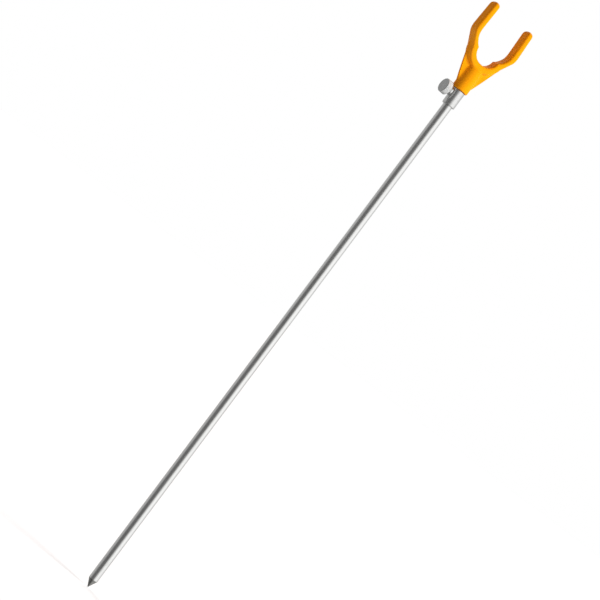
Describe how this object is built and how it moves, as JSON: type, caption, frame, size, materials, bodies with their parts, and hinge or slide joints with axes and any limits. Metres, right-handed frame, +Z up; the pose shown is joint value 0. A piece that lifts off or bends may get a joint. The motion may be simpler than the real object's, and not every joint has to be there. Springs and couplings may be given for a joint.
{
  "type": "telescopic bank stick",
  "caption": "Telescopic pointed ground stick with a clamping collar, thumbscrew and screw-on U-shaped rod rest head.",
  "frame": {"origin": "point of the ground spike, on the stick's axis", "axes": "+Z up the stick to the rod rest, X along the rest's two arms with the thumbscrew towards -X, Y through the rest's opening, along the rod"},
  "size_m": [0.0706, 0.021, 0.8209],
  "materials": {
    "brushed_tube": "drawn tube with a fine lengthwise brushed grain",
    "turned_collar": "satin turned",
    "turned_knob": "satin turned, with a fine straight knurl on the rim",
    "spike_steel": "turned, dull grey, scuffed at the point",
    "screw_steel": "zinc plated thread",
    "brass_thread": "turned",
    "white_nylon": "natural nylon",
    "black_rubber": "matte",
    "orange_plastic": "moulded, satin gloss"
  },
  "bodies": {
    "outer_section": {"ground_spike": "spike_steel", "outer_tube": "brushed_tube", "lock_collar": "turned_collar"},
    "bush": {"guide_bush": "white_nylon"},
    "inner_section": {"inner_tube": "brushed_tube", "inner_plug": "turned_collar", "thread_ferrule": "brass_thread"},
    "pad": {"screw_pad": "white_nylon"},
    "thumbscrew": {"clamp_screw": "screw_steel", "clamp_knob": "turned_knob"},
    "washer": {"thread_washer": "black_rubber"},
    "rest": {"rest_stud": "brass_thread", "rod_rest": "orange_plastic"}
  },
  "joints": [
    {"name": "telescope_slide", "type": "slide", "parent": "outer_section", "child": "bush", "axis": [0, 0, 1], "range_m": [0, 0.547]},
    {"name": "tube_swivel", "type": "hinge", "parent": "bush", "child": "inner_section", "pos_m": [0, 0, 0.15], "axis": [0, 0, 1], "continuous": true},
    {"name": "screw_turn", "type": "hinge", "parent": "pad", "child": "thumbscrew", "pos_m": [-0.015, 0, 0.7091], "axis": [-1, 0, 0], "range_deg": [0, 900]},
    {"name": "screw_travel", "type": "slide", "parent": "outer_section", "child": "pad", "axis": [-1, 0, 0], "range_m": [0, 0.002]},
    {"name": "rest_turn", "type": "hinge", "parent": "washer", "child": "rest", "pos_m": [0, 0, 0.7285], "axis": [0, 0, 1], "range_deg": [0, 2340]},
    {"name": "rest_lift", "type": "slide", "parent": "inner_section", "child": "washer", "axis": [0, 0, 1], "range_m": [0, 0.00825]}
  ],
  "couplings": [
    {"joint": "screw_turn", "follows": "screw_travel", "rad_per_m": 7854},
    {"joint": "rest_turn", "follows": "rest_lift", "rad_per_m": 4947.4}
  ]
}
